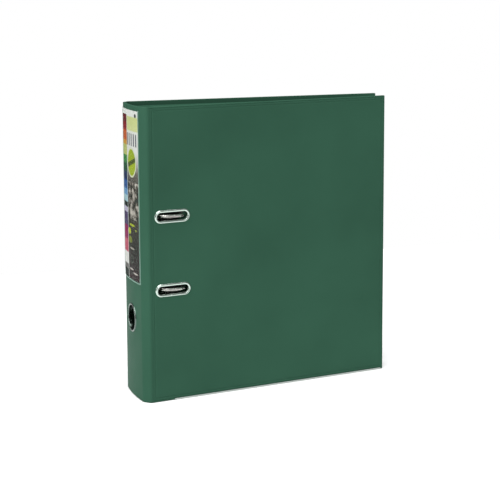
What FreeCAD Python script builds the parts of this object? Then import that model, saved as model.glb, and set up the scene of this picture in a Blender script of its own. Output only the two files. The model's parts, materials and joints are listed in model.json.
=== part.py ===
"""A lever arch file, standing upright: two covers and a spine of foil-covered board that fold on four
creases, and a steel lever arch mechanism riveted to the back cover.

Axes: +Z is up, +X runs from the spine to the fore-edge, +Y from the front cover to the back cover.
The origin is the middle of the file's footprint. All sizes are in millimetres and degrees.
"""
import FreeCAD, Part
import Sketcher
import math
import os
import re

SIZES = {
    # covers and spine
    "cover_height": 320, "spine_depth": 80, "cover_length": 296, "corner_leg": 7, "cover_lean": 8.6,
    "board": 2.0, "foil": 0.3, "crease_gap": 1.4, "foil_gap": 0.2, "spine_bulge": 2.2,
    # steel edge rails under the covers
    "rail_sheet": 0.4, "rail_leg": 1.9, "rail_start": 28, "rail_margin": 3,
    # oblong eyelets in the front cover
    "eyelet_along": 27.7, "eyelet_middle": 162.3, "hole_spacing": 80, "slot_half_span": 13.7,
    "slot_radius": 4.5, "barrel_radius": 5.1, "flange_radius": 7.1, "flange_rise": 0.8,
    "clinch_radius": 6.7, "clinch_rise": 0.4, "fit_gap": 0.1,
    # finger ring in the spine
    "ring_height": 87.2, "ring_bore": 13.8, "ring_barrel": 14.7, "ring_flange": 16, "ring_rise": 0.9,
    "collar_rise": 0.5, "collar_seat": 0.55,
    # label pocket and card on the spine
    "pocket_bottom": 129, "pocket_top": 315.5, "pocket_half_width": 31.5, "pocket_film": 0.25,
    "pocket_space": 0.5, "pocket_weld": 1.2, "card_half_width": 30, "card_sheet": 0.3,
    # mechanism: heights are measured from the top of its base plate
    "plate_sheet": 1.0, "plate_near": 10, "plate_far": 62, "plate_low": 88, "plate_high": 232,
    "plate_corner": 5, "arch_drop": 1.5, "wire_radius": 2, "shaft_along": 17.5, "shaft_rise": 4,
    "arch_span": 35, "arch_rise": 65.5, "arch_bend": 14, "wire_bend": 4.5, "meeting_rise": 46,
    "meeting_slant": 30, "meeting_gap": 0.35, "crank_middle": 167, "crank_half_length": 12,
    "crank_throw": 13.5, "bearing_wall": 1.0, "bearing_gap": 0.05,
    "post_radius": 2.4, "post_foot": 4, "post_foot_rise": 1.2,
    "rivet_near": 17, "rivet_far": 55, "rivet_low": 95, "rivet_high": 225, "rivet_radius": 2,
    "rivet_head": 3.8, "rivet_tail": 4.5, "rivet_head_rise": 0.9, "rivet_gap": 0.05,
    "pivot_height": 148, "pivot_rise": 7, "pivot_gap": 0.08, "pin_radius": 1.5, "pin_head": 2.5,
    "pin_head_rise": 0.8,
    "lever_near": 22, "lever_width": 15, "lever_sheet": 1, "lever_length": 59.5, "lever_top": 12.6,
    "lever_underside": 6.8, "lever_eye": 3.6, "ear_sheet": 1, "ear_gap": 0.5, "ear_half_width": 4.5,
    "ear_rise": 10.5, "roller_arm": 19, "roller_rise": 8.8, "roller_radius": 2.5, "roller_gap": 0.3,
    "roller_pin": 1, "grip_length": 21, "grip_wall": 1.2,
    "bar_near": 45, "bar_far": 61, "bar_overhang": 21, "bar_rise": 2, "bar_sheet": 2.5,
    "bush_radius": 3.8, "bush_flange": 5.2, "bush_flange_rise": 0.8, "bush_gap": 0.56,
}

document = FreeCAD.newDocument("lever_arch_file")
sheet = document.addObject("Spreadsheet::Sheet", "sizes")
for row, (alias, number) in enumerate(SIZES.items(), start=1):
    sheet.set(f"A{row}", alias)
    sheet.set(f"B{row}", str(number))
    sheet.setAlias(f"B{row}", alias)
document.recompute()

PANEL = "(board + 2 * foil)"
STRIP = "(corner_leg * sqrt(2))"
HALF_SPINE = "(spine_depth / 2 - corner_leg)"
SPINE_RADIUS = f"(({HALF_SPINE}^2 + spine_bulge^2) / (2 * spine_bulge))"
SLOT_HEIGHTS = ("eyelet_middle - hole_spacing / 2", "eyelet_middle + hole_spacing / 2")
ARCH_HEIGHTS = tuple(f"{height} - arch_drop" for height in SLOT_HEIGHTS)
RIVET_PLACES = [(x, z) for x in ("rivet_near", "rivet_far") for z in ("rivet_low", "rivet_high")]
POST_ALONG = "shaft_along + arch_span"

parts = {}


def cells(formula):
    """The formula with every alias pointing at its cell."""
    return re.sub(r"[a-z_]+", lambda word: "sizes." + word[0] if word[0] in SIZES else word[0], str(formula))


def size(formula):
    """The formula's number."""
    return float(sheet.evalExpression(cells(formula)))


# ---- sketches and features -------------------------------------------------------------------------

def new_body(label, placement):
    """An empty body that is one sub-part, in the frame that its placement gives."""
    body = document.addObject("PartDesign::Body", label)
    body.Label = label
    body.AllowCompound = True
    body.Placement = placement
    parts[label] = body
    return body


def new_sketch(body, plane, lift="0"):
    """An empty sketch on one of the body's own planes, lifted along that plane's normal."""
    sketch = body.newObject("Sketcher::SketchObject", body.Label + "_sketch")
    support = next(item for item in body.Origin.OriginFeatures if item.Role == plane)
    sketch.AttachmentSupport = [(support, "")]
    sketch.MapMode = "FlatFace"
    sketch.setExpression("AttachmentOffset.Base.z", cells(lift))
    return sketch


def hold(sketch, kind, places, formula):
    """A dimension of the sketch, bound to the sheet."""
    index = sketch.addConstraint(Sketcher.Constraint(kind, *places, size(formula)))
    name = f"dimension{index}"
    sketch.renameConstraint(index, name)
    sketch.setExpression("Constraints." + name, cells(formula))


def hold_point(sketch, geometry, point, across, up):
    hold(sketch, "DistanceX", (-1, 1, geometry, point), across)
    hold(sketch, "DistanceY", (-1, 1, geometry, point), up)


def add_polygon(sketch, corners):
    """A closed outline of straight lines through the corners."""
    first = sketch.GeometryCount
    count = len(corners)
    points = [FreeCAD.Vector(size(across), size(up), 0) for across, up in corners]
    for index, point in enumerate(points):
        sketch.addGeometry(Part.LineSegment(point, points[(index + 1) % count]), False)
    for index, (across, up) in enumerate(corners):
        following = first + (index + 1) % count
        sketch.addConstraint(Sketcher.Constraint("Coincident", first + index, 2, following, 1))
        hold_point(sketch, first + index, 1, across, up)


def add_rectangle(sketch, left, right, low, high):
    add_polygon(sketch, [(left, low), (right, low), (right, high), (left, high)])


def add_circle(sketch, across, up, radius):
    centre = FreeCAD.Vector(size(across), size(up), 0)
    index = sketch.addGeometry(Part.Circle(centre, FreeCAD.Vector(0, 0, 1), size(radius)), False)
    hold_point(sketch, index, 3, across, up)
    hold(sketch, "Radius", (index,), radius)


def add_slot(sketch, across, up, half_span, radius):
    """A round-ended slot, lying along the sketch's first axis."""
    up_axis = FreeCAD.Vector(0, 0, 1)
    quarter = math.pi / 2
    middle_x, middle_y, reach, round_end = size(across), size(up), size(half_span), size(radius)
    left = Part.Circle(FreeCAD.Vector(middle_x - reach, middle_y, 0), up_axis, round_end)
    right = Part.Circle(FreeCAD.Vector(middle_x + reach, middle_y, 0), up_axis, round_end)
    left_end = sketch.addGeometry(Part.ArcOfCircle(left, quarter, 3 * quarter), False)
    right_end = sketch.addGeometry(Part.ArcOfCircle(right, -quarter, quarter), False)
    sides = []
    for sign in (1, -1):
        start = FreeCAD.Vector(middle_x - reach, middle_y + sign * round_end, 0)
        stop = FreeCAD.Vector(middle_x + reach, middle_y + sign * round_end, 0)
        sides.append(sketch.addGeometry(Part.LineSegment(start, stop), False))
    top, bottom = sides
    sketch.addConstraint(Sketcher.Constraint("Tangent", left_end, 1, top, 1))
    sketch.addConstraint(Sketcher.Constraint("Tangent", left_end, 2, bottom, 1))
    sketch.addConstraint(Sketcher.Constraint("Tangent", right_end, 2, top, 2))
    sketch.addConstraint(Sketcher.Constraint("Tangent", right_end, 1, bottom, 2))
    sketch.addConstraint(Sketcher.Constraint("Equal", left_end, right_end))
    hold_point(sketch, left_end, 3, f"{across} - {half_span}", up)
    hold_point(sketch, right_end, 3, f"{across} + {half_span}", up)
    hold(sketch, "Radius", (left_end,), radius)


def add_arched_band(sketch, near, far, reach):
    """A band of the spine's curve, between two depths from its outer face, out to a reach each way."""
    centre = f"({SPINE_RADIUS} - spine_bulge)"
    arcs = []
    for depth in (near, far):
        radius = size(f"{SPINE_RADIUS} - ({depth})")
        swing = math.asin(size(reach) / radius)
        circle = Part.Circle(FreeCAD.Vector(size(centre), 0, 0), FreeCAD.Vector(0, 0, 1), radius)
        arcs.append(sketch.addGeometry(Part.ArcOfCircle(circle, math.pi - swing, math.pi + swing), False))
    for point, sign in ((1, "1"), (2, "-1")):
        ends = [sketch.getPoint(arc, point) for arc in arcs]
        side = sketch.addGeometry(Part.LineSegment(*ends), False)
        for arc, end in zip(arcs, (1, 2)):
            sketch.addConstraint(Sketcher.Constraint("Coincident", arc, point, side, end))
        sketch.addConstraint(Sketcher.Constraint("Horizontal", side))
        hold(sketch, "DistanceY", (-1, 1, side, 1), f"{sign} * ({reach})")
    for arc, depth in zip(arcs, (near, far)):
        hold_point(sketch, arc, 3, centre, "0")
        hold(sketch, "Radius", (arc,), f"{SPINE_RADIUS} - ({depth})")


def add_pad(body, sketch, length, backwards=False):
    pad = body.newObject("PartDesign::Pad", body.Label + "_pad")
    pad.Profile = sketch
    pad.setExpression("Length", cells(length))
    pad.Reversed = backwards
    document.recompute()
    return pad


def add_cut(body, sketch, length=None, backwards=False):
    """A pocket to a depth or, with no depth, right through both ways; it has to remove something."""
    before = body.Shape.Volume
    pocket = body.newObject("PartDesign::Pocket", body.Label + "_cut")
    pocket.Profile = sketch
    if length is None:
        pocket.Type = "ThroughAll"
        pocket.Midplane = True
    else:
        pocket.setExpression("Length", cells(length))
        pocket.Reversed = backwards
    document.recompute()
    if body.Shape.Volume > before - 1e-6:
        raise SystemExit(f"a cut in {body.Label} removed nothing")
    return pocket


# ---- frames ----------------------------------------------------------------------------------------

def frame(x=0.0, y=0.0, z=0.0, turn=0.0):
    """A frame at a point, turned about +Z by an angle in degrees."""
    return FreeCAD.Placement(FreeCAD.Vector(x, y, z), FreeCAD.Rotation(FreeCAD.Vector(0, 0, 1), turn))


HALF_DEPTH = size("spine_depth / 2")
CORNER = size("corner_leg")
SPINE = frame()
FRONT_COVER = frame(CORNER, -HALF_DEPTH, 0, size("cover_lean"))
FRONT_STRIP = frame(0, CORNER - HALF_DEPTH, 0, -45)
BACK_COVER = frame(CORNER, HALF_DEPTH)
BACK_STRIP = frame(0, HALF_DEPTH - CORNER, 0, 45)
MECHANISM = frame(0, size(f"spine_depth / 2 - {PANEL} - plate_sheet"))
RING = frame(-size("spine_bulge"), 0, size("ring_height"))
INWARD = {"front": 1, "back": -1}


# ---- covers, creases and spine -----------------------------------------------------------------------

def panel_layer(label, placement, side, along, depth):
    """One layer of a cover or crease strip, as tall as the file, standing on the rail's height."""
    body = new_body(label, placement)
    sketch = new_sketch(body, "XY_Plane", "rail_sheet")
    near, far = (f"{INWARD[side]} * {place}" for place in depth)
    if side == "back":
        near, far = far, near
    add_rectangle(sketch, *along, near, far)
    add_pad(body, sketch, "cover_height - rail_sheet")
    return body


LAYERS = {
    "foil": ("0", "foil"),
    "board": ("foil", "(foil + board)"),
    "lining": ("(foil + board)", PANEL),
}


def layered_panel(side, name, placement, length, free_edge):
    """A panel's outer foil, board and lining. Every layer stops short of the creases."""
    bodies = []
    for layer, depth in LAYERS.items():
        gap = "crease_gap" if layer != "foil" else "foil_gap"
        end = length if free_edge else f"{length} - {gap}"
        bodies.append(panel_layer(f"{name}_{layer}", placement, side, (gap, end), depth))
    return bodies


def front_cover():
    for body in layered_panel("front", "front_cover", FRONT_COVER, "cover_length", True):
        sketch = new_sketch(body, "XZ_Plane")
        for height in SLOT_HEIGHTS:
            add_slot(sketch, "eyelet_along", height, "slot_half_span", "barrel_radius + fit_gap")
        add_cut(body, sketch)


def back_cover():
    for body in layered_panel("back", "back_cover", BACK_COVER, "cover_length", True):
        sketch = new_sketch(body, "XZ_Plane")
        for along, height in RIVET_PLACES:
            add_circle(sketch, f"{along} - corner_leg", height, "rivet_radius + rivet_gap")
        add_cut(body, sketch)


def spine():
    """The spine's three layers, bowed outward between the creases, each with the finger hole."""
    for layer, (near, far) in LAYERS.items():
        body = new_body(f"spine_{layer}", SPINE)
        gap = "crease_gap" if layer != "foil" else "foil_gap"
        sketch = new_sketch(body, "XY_Plane", "rail_sheet")
        add_arched_band(sketch, near, far, f"({HALF_SPINE} - {gap})")
        add_pad(body, sketch, "cover_height - rail_sheet")
        hole = new_sketch(body, "YZ_Plane")
        add_circle(hole, "0", "ring_height", "ring_barrel + fit_gap")
        add_cut(body, hole)


def edge_rail(side, placement):
    """A channel of sheet steel pushed over the cover's bottom edge; the file stands on it."""
    body = new_body(f"{side}_edge_rail", placement)
    sketch = new_sketch(body, "YZ_Plane", "rail_start")
    inward = INWARD[side]
    outline = [
        ("-rail_sheet", "0"), (f"{PANEL} + rail_sheet", "0"), (f"{PANEL} + rail_sheet", "rail_leg"),
        (PANEL, "rail_leg"), (PANEL, "rail_sheet"), ("0", "rail_sheet"), ("0", "rail_leg"),
        ("-rail_sheet", "rail_leg"),
    ]
    add_polygon(sketch, [(f"{inward} * ({across})", up) for across, up in outline])
    add_pad(body, sketch, "cover_length - rail_start - rail_margin")


# ---- eyelets, finger ring and label ------------------------------------------------------------------

def slot_ring(body, lift, outer, inner, length, backwards):
    """One round-ended ring for each eyelet, padded from a plane parallel to the cover."""
    sketch = new_sketch(body, "XZ_Plane", lift)
    for height in SLOT_HEIGHTS:
        add_slot(sketch, "eyelet_along", height, "slot_half_span", outer)
        add_slot(sketch, "eyelet_along", height, "slot_half_span", inner)
    return add_pad(body, sketch, length, backwards)


def eyelets():
    body = new_body("oblong_eyelets", FRONT_COVER)
    flange = slot_ring(body, "0", "flange_radius", "slot_radius", "flange_rise", False)
    rim = [
        f"Edge{index}" for index, edge in enumerate(flange.Shape.Edges, start=1)
        if abs(edge.BoundBox.YMax + size("flange_rise")) < 1e-3 and edge.BoundBox.YLength < 1e-3
    ]
    rounding = body.newObject("PartDesign::Fillet", "eyelet_rounding")
    rounding.Base = (flange, rim)
    rounding.Radius = 0.5
    document.recompute()
    slot_ring(body, "0", "barrel_radius", "slot_radius", f"{PANEL} + clinch_rise", True)

    collars = new_body("eyelet_clinch_rings", FRONT_COVER)
    slot_ring(collars, f"-{PANEL}", "clinch_radius", "barrel_radius + fit_gap", "clinch_rise", True)


def turned_ring(label, profile):
    """A ring turned about the finger hole's axis; the profile is (along the axis, radius)."""
    body = new_body(label, RING)
    sketch = new_sketch(body, "XZ_Plane")
    add_polygon(sketch, profile)
    turning = body.newObject("PartDesign::Revolution", label + "_turning")
    turning.Profile = sketch
    turning.ReferenceAxis = (next(item for item in body.Origin.OriginFeatures if item.Role == "X_Axis"), [""])
    turning.Angle = 360
    document.recompute()


def finger_ring():
    """The ring lies on the crown of the spine's curve, so its collar seats behind the curve's ends."""
    seat = f"({PANEL} + collar_seat)"
    turned_ring("finger_ring", [
        ("-ring_rise", "ring_bore + 0.6"), ("-ring_rise", "ring_flange - 1.0"),
        ("-ring_rise * 0.6", "ring_flange - 0.3"), ("0", "ring_flange"), ("0", "ring_barrel"),
        (f"{seat} + collar_rise", "ring_barrel"), (f"{seat} + collar_rise", "ring_bore"),
        ("-ring_rise * 0.4", "ring_bore"),
    ])
    turned_ring("finger_ring_collar", [
        (seat, "ring_barrel + fit_gap"), (seat, "ring_flange"),
        (f"{seat} + collar_rise", "ring_flange - 0.4"),
        (f"{seat} + collar_rise", "ring_barrel + fit_gap"),
    ])


def label_and_pocket():
    """A clear pocket welded to the spine on three sides, open at the top, and the card inside it."""
    pocket = new_body("label_pocket", SPINE)
    film = new_sketch(pocket, "XY_Plane", "pocket_bottom")
    add_arched_band(film, "-(pocket_space + pocket_film)", "0", "pocket_half_width")
    add_pad(pocket, film, "pocket_top - pocket_bottom")
    space = new_sketch(pocket, "XY_Plane", "pocket_bottom + pocket_weld")
    add_arched_band(space, "-pocket_space", "0", "(pocket_half_width - pocket_weld)")
    add_cut(pocket, space, "pocket_top - pocket_bottom", backwards=True)

    card = new_body("label_card", SPINE)
    bottom = "(pocket_bottom + pocket_weld + 0.4)"
    outline = new_sketch(card, "XY_Plane", bottom)
    depths = ("-(pocket_space + card_sheet) / 2", "-(pocket_space - card_sheet) / 2")
    add_arched_band(outline, *depths, "card_half_width")
    add_pad(card, outline, f"pocket_top - 1 - {bottom}")


# ---- mechanism: fixed pieces on the back cover -------------------------------------------------------

def base_plate():
    body = new_body("base_plate", MECHANISM)
    outline = new_sketch(body, "XZ_Plane")
    corner = "plate_corner"
    add_polygon(outline, [
        (f"plate_near + {corner}", "plate_low"), (f"plate_far - {corner}", "plate_low"),
        ("plate_far", f"plate_low + {corner}"), ("plate_far", f"plate_high - {corner}"),
        (f"plate_far - {corner}", "plate_high"), (f"plate_near + {corner}", "plate_high"),
        ("plate_near", f"plate_high - {corner}"), ("plate_near", f"plate_low + {corner}"),
    ])
    add_pad(body, outline, "plate_sheet", backwards=True)
    pressed_panels(body)
    shaft_bearings(body)
    lever_ears(body)
    holes = new_sketch(body, "XZ_Plane")
    for along, height in RIVET_PLACES:
        add_circle(holes, along, height, "rivet_radius + rivet_gap")
    add_cut(body, holes)


def pressed_panels(body):
    """Two shallow raised panels that stiffen the ends of the plate."""
    sketch = new_sketch(body, "XZ_Plane")
    for low, high in (("plate_low + 6", "plate_low + 20"), ("plate_high - 20", "plate_high - 6")):
        add_rectangle(sketch, "plate_near + 14", "plate_far - 14", low, high)
    add_pad(body, sketch, "0.8")


def shaft_bearings(body):
    """Two curled tabs that hold the arch wire's shaft."""
    outer = "wire_radius + bearing_wall"
    lower, upper = ("128", "12"), ("186", "6")
    for low, length in (lower, upper):
        curl = new_sketch(body, "XY_Plane", low)
        add_circle(curl, "shaft_along", "-shaft_rise", outer)
        add_pad(body, curl, length)
        web = new_sketch(body, "XY_Plane", low)
        add_rectangle(web, f"shaft_along - {outer}", "shaft_along - wire_radius", "-shaft_rise", "0")
        add_pad(body, web, length)
    bore = new_sketch(body, "XY_Plane")
    add_circle(bore, "shaft_along", "-shaft_rise", "wire_radius + bearing_gap")
    add_cut(body, bore)


def lever_ears(body):
    """Two ears folded up on either side of the lever, with a hole for its pin."""
    near = "lever_near - ear_gap - ear_sheet"
    far = "lever_near + lever_width + ear_gap"
    low = "pivot_height - ear_half_width"
    high = "pivot_height + ear_half_width"
    for along in (near, far):
        ear = new_sketch(body, "YZ_Plane", along)
        add_polygon(ear, [
            ("0", low), ("0", high), ("-pivot_rise", high), ("-ear_rise", f"{high} - 2.5"),
            ("-ear_rise", f"{low} + 2.5"), ("-pivot_rise", low),
        ])
        add_pad(body, ear, "ear_sheet")
    hole = new_sketch(body, "YZ_Plane")
    add_circle(hole, "-pivot_rise", "pivot_height", "pin_radius + rivet_gap")
    add_cut(body, hole)


def posts():
    """Two fixed posts that carry the punched paper; their slanted ends meet the arches."""
    body = new_body("paper_posts", MECHANISM)
    foot = new_sketch(body, "XZ_Plane")
    shank = new_sketch(body, "XZ_Plane")
    for height in ARCH_HEIGHTS:
        add_circle(foot, POST_ALONG, height, "post_foot")
        add_circle(shank, POST_ALONG, height, "post_radius")
    add_pad(body, foot, "post_foot_rise")
    add_pad(body, shank, "meeting_rise + 4")
    end = new_sketch(body, "XY_Plane")
    rise = "(4 * tan(meeting_slant * 1 deg))"
    level = "-(meeting_rise - meeting_gap / cos(meeting_slant * 1 deg))"
    add_polygon(end, [
        (f"{POST_ALONG} - 4", f"{level} + {rise}"), (f"{POST_ALONG} + 4", f"{level} - {rise}"),
        (f"{POST_ALONG} + 4", f"{level} - 9"), (f"{POST_ALONG} - 4", f"{level} - 9"),
    ])
    add_cut(body, end)


def rivets():
    """Four rivets through the plate and the back cover."""
    body = new_body("mechanism_rivets", MECHANISM)
    through = f"(plate_sheet + {PANEL})"
    stages = (
        ("0", "rivet_head", "rivet_head_rise", False),
        ("0", "rivet_radius", through, True),
        (f"-{through}", "rivet_tail", "rivet_head_rise", True),
    )
    for lift, radius, length, backwards in stages:
        sketch = new_sketch(body, "XZ_Plane", lift)
        for along, height in RIVET_PLACES:
            add_circle(sketch, along, height, radius)
        add_pad(body, sketch, length, backwards)


def headed_pin(label, near, length, rise, height, radius, head, head_rise):
    """A plain pin along X with a head at each end."""
    body = new_body(label, MECHANISM)
    shank = new_sketch(body, "YZ_Plane", near)
    add_circle(shank, f"-({rise})", height, radius)
    add_pad(body, shank, length)
    for lift in (f"{near} - {head_rise}", f"{near} + {length}"):
        end = new_sketch(body, "YZ_Plane", lift)
        add_circle(end, f"-({rise})", height, head)
        add_pad(body, end, head_rise)


# ---- mechanism: moving pieces ------------------------------------------------------------------------

def bent_wire_path(points, bends):
    """Straight runs through the points, joined at each inner point by an arc of the given radius."""
    edges = []
    start = points[0]
    for before, corner, after, bend in zip(points, points[1:], points[2:], bends):
        arriving = (corner - before).normalize()
        leaving = (after - corner).normalize()
        cut = bend * math.tan(arriving.getAngle(leaving) / 2)
        first = corner - arriving * cut
        last = corner + leaving * cut
        towards_centre = (leaving - arriving).normalize()
        centre = corner + towards_centre * math.hypot(bend, cut)
        middle = centre - towards_centre * bend
        edges.append(Part.LineSegment(start, first).toShape())
        edges.append(Part.Arc(first, middle, last).toShape())
        start = last
    edges.append(Part.LineSegment(start, points[-1]).toShape())
    return Part.Wire(edges)


def arch_wire():
    """Both arches, the shaft between them and the shaft's crank, bent from one steel wire."""
    shaft, rise = size("shaft_along"), size("shaft_rise")
    post, crown = size(POST_ALONG), size("arch_rise")
    crank = shaft + size("crank_throw")
    low, high = (size(height) for height in ARCH_HEIGHTS)
    crank_low = size("crank_middle - crank_half_length")
    crank_high = size("crank_middle + crank_half_length")
    tip = size("meeting_rise") - 4
    corners = [
        (post, tip, low), (post, crown, low), (shaft, crown, low), (shaft, rise, low),
        (shaft, rise, crank_low), (crank, rise, crank_low), (crank, rise, crank_high),
        (shaft, rise, crank_high), (shaft, rise, high), (shaft, crown, high), (post, crown, high),
        (post, tip, high),
    ]
    points = [FreeCAD.Vector(x, -up, z) for x, up, z in corners]
    arch, tight = size("arch_bend"), size("wire_bend")
    path = bent_wire_path(points, [arch, arch] + [tight] * 6 + [arch, arch])
    section = Part.Wire(Part.Circle(points[0], FreeCAD.Vector(0, -1, 0), size("wire_radius")).toShape())
    wire = path.makePipeShell([section], True, False)
    for height in (low, high):
        wire = wire.cut(meeting_block(post, height))
    feature = document.addObject("Part::Feature", "arch_wire")
    feature.Label = "arch_wire"
    feature.Shape = wire
    feature.Placement = MECHANISM
    parts["arch_wire"] = feature


def meeting_block(post, height):
    """The space below an arch's slanted end, to cut from its wire."""
    reach, depth = 8, 12
    block = Part.makeBox(2 * reach, depth, 2 * reach, FreeCAD.Vector(-reach, 0, -reach))
    block.rotate(FreeCAD.Vector(), FreeCAD.Vector(0, 0, 1), -size("meeting_slant"))
    block.translate(FreeCAD.Vector(post, -size("meeting_rise"), height))
    return block


def lever_arm():
    """A pressed channel, open underneath, that turns on the pin between the ears."""
    body = new_body("lever_arm", MECHANISM)
    tip = "pivot_height + lever_length - 1.5"
    side = new_sketch(body, "YZ_Plane", "lever_near")
    profile = [
        ("-lever_underside", "pivot_height + 3"), ("-lever_underside", "pivot_height + 30"),
        ("-(lever_underside + 2.6)", "pivot_height + 37"), ("-(lever_underside + 2.6)", tip),
        ("-lever_top", tip), ("-lever_top", "pivot_height + 3"), ("-(lever_top - 2)", "pivot_height - 1"),
        ("-pivot_rise", "pivot_height - 1"),
    ]
    add_polygon(side, profile)
    add_pad(body, side, "lever_width")
    channel = new_sketch(body, "YZ_Plane", "lever_near + lever_sheet")
    add_rectangle(channel, "-(lever_top - lever_sheet)", "-5", "pivot_height - 4", "pivot_height + 60")
    add_cut(body, channel, "lever_width - 2 * lever_sheet", backwards=True)
    for near in ("lever_near", "lever_near + lever_width - lever_sheet"):
        eye = new_sketch(body, "YZ_Plane", near)
        add_circle(eye, "-pivot_rise", "pivot_height", "lever_eye")
        add_pad(body, eye, "lever_sheet")
    holes = new_sketch(body, "YZ_Plane")
    add_circle(holes, "-pivot_rise", "pivot_height", "pin_radius + pivot_gap")
    add_circle(holes, "-roller_rise", "pivot_height + roller_arm", "roller_pin + rivet_gap")
    add_cut(body, holes)


def lever_roller():
    body = new_body("lever_roller", MECHANISM)
    sketch = new_sketch(body, "YZ_Plane", "lever_near + lever_sheet + roller_gap")
    add_circle(sketch, "-roller_rise", "pivot_height + roller_arm", "roller_radius")
    add_circle(sketch, "-roller_rise", "pivot_height + roller_arm", "roller_pin + rivet_gap")
    add_pad(body, sketch, "lever_width - 2 * (lever_sheet + roller_gap)")


def lever_grip():
    """A moulded cap pushed over the lever's end, thicker towards the tip."""
    body = new_body("lever_grip", MECHANISM)
    tip = "pivot_height + lever_length"
    side = new_sketch(body, "YZ_Plane", "lever_near - grip_wall")
    add_polygon(side, [
        ("-(lever_underside + 1.4)", f"{tip} - grip_length + 4"), ("-(lever_underside + 1.4)", f"{tip} - 2"),
        ("-(lever_underside + 3)", tip), ("-(lever_top + 1.6)", tip), ("-(lever_top + 2.4)", f"{tip} - 3"),
        ("-(lever_top + grip_wall)", f"{tip} - grip_length"),
        ("-lever_top", f"{tip} - grip_length"),
    ])
    add_pad(body, side, "lever_width + 2 * grip_wall")
    socket = new_sketch(body, "YZ_Plane", "lever_near")
    add_rectangle(socket, "-lever_top", "-(lever_underside + 2.6)", f"{tip} - grip_length - 1", f"{tip} - 1.5")
    add_cut(body, socket, "lever_width", backwards=True)


def compressor():
    """The bar that holds the paper down, and the two bushes that slide on the posts."""
    bar = new_body("compressor_bar", MECHANISM)
    low, high = ARCH_HEIGHTS
    outline = new_sketch(bar, "XZ_Plane", "bar_rise")
    low_end, high_end = f"({low} - bar_overhang)", f"({high} + bar_overhang)"
    add_polygon(outline, [
        ("bar_near + 4", low_end), ("bar_far - 4", low_end), ("bar_far", f"{low_end} + 4"),
        ("bar_far", f"{high_end} - 4"), ("bar_far - 4", high_end), ("bar_near + 4", high_end),
        ("bar_near", f"{high_end} - 4"), ("bar_near", f"{low_end} + 4"),
    ])
    for height in ARCH_HEIGHTS:
        add_circle(outline, POST_ALONG, height, "bush_radius + rivet_gap")
    add_pad(bar, outline, "bar_sheet")

    bushes = new_body("compressor_bushes", MECHANISM)
    stages = (("bar_rise", "bush_radius", "bar_sheet"), ("bar_rise + bar_sheet", "bush_flange", "bush_flange_rise"))
    for lift, outer, length in stages:
        sketch = new_sketch(bushes, "XZ_Plane", lift)
        for height in ARCH_HEIGHTS:
            add_circle(sketch, POST_ALONG, height, outer)
            add_circle(sketch, POST_ALONG, height, "post_radius + bush_gap")
        add_pad(bushes, sketch, length)


# ---- assembly ----------------------------------------------------------------------------------------

def centre_footprint():
    """Move every sub-part so that the origin is the middle of the footprint; print the move."""
    box = FreeCAD.BoundBox()
    for part in parts.values():
        box.add(part.Shape.optimalBoundingBox(False, False))
    middle = FreeCAD.Vector(box.Center.x, box.Center.y, box.ZMin)
    for part in parts.values():
        part.Placement = FreeCAD.Placement(part.Placement.Base - middle, part.Placement.Rotation)
    document.recompute()
    print("footprint middle", round(middle.x, 4), round(middle.y, 4), "lowest", round(middle.z, 4))
    print("size", round(box.XLength, 3), round(box.YLength, 3), round(box.ZLength, 3))


def check_and_write():
    for item in document.Objects:
        if "Invalid" in item.State or "Error" in item.State:
            raise SystemExit(f"{item.Label} failed: {item.State}")
    os.makedirs("parts", exist_ok=True)
    for label, part in parts.items():
        shape = part.Shape
        if shape.isNull() or not shape.isValid() or shape.Volume <= 0:
            raise SystemExit(f"{label} has no valid solid")
        shape.exportStep(f"parts/{label}.step")
        print(f"{label}: {len(shape.Solids)} solid(s), {shape.Volume:.1f} mm3")


front_cover()
layered_panel("front", "front_crease", FRONT_STRIP, STRIP, False)
spine()
layered_panel("back", "back_crease", BACK_STRIP, STRIP, False)
back_cover()
edge_rail("front", FRONT_COVER)
edge_rail("back", BACK_COVER)
eyelets()
finger_ring()
label_and_pocket()
base_plate()
posts()
rivets()
headed_pin("lever_pin", "lever_near - ear_gap - ear_sheet", "lever_width + 2 * (ear_gap + ear_sheet)",
           "pivot_rise", "pivot_height", "pin_radius", "pin_head", "pin_head_rise")
arch_wire()
lever_arm()
lever_roller()
headed_pin("roller_pin", "lever_near", "lever_width", "roller_rise", "pivot_height + roller_arm",
           "roller_pin", "roller_pin + 0.6", "roller_gap")
lever_grip()
compressor()
centre_footprint()
check_and_write()
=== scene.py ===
import bpy
import bmesh
import json
import math
from mathutils import Matrix, Vector


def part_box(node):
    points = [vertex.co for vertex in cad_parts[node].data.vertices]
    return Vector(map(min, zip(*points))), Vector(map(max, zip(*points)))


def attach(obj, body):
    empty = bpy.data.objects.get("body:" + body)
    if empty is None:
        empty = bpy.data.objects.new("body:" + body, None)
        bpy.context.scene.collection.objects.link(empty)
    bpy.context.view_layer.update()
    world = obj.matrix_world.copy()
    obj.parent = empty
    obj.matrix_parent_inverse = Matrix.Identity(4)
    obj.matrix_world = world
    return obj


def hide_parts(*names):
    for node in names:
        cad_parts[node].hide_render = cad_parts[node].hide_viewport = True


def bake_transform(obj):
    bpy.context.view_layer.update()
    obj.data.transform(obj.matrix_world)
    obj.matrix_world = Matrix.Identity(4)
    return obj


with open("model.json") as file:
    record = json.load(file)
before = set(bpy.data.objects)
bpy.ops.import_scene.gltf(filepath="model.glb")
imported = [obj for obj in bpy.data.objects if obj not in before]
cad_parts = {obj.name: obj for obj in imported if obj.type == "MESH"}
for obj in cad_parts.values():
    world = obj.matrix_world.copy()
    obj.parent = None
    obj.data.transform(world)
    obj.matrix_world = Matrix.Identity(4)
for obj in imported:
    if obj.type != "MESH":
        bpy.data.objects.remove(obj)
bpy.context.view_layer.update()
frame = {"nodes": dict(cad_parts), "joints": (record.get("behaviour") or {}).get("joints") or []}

MM = 0.001
JOINTS = {joint["name"]: joint for joint in frame["joints"]}
SCENE = bpy.context.scene


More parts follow.
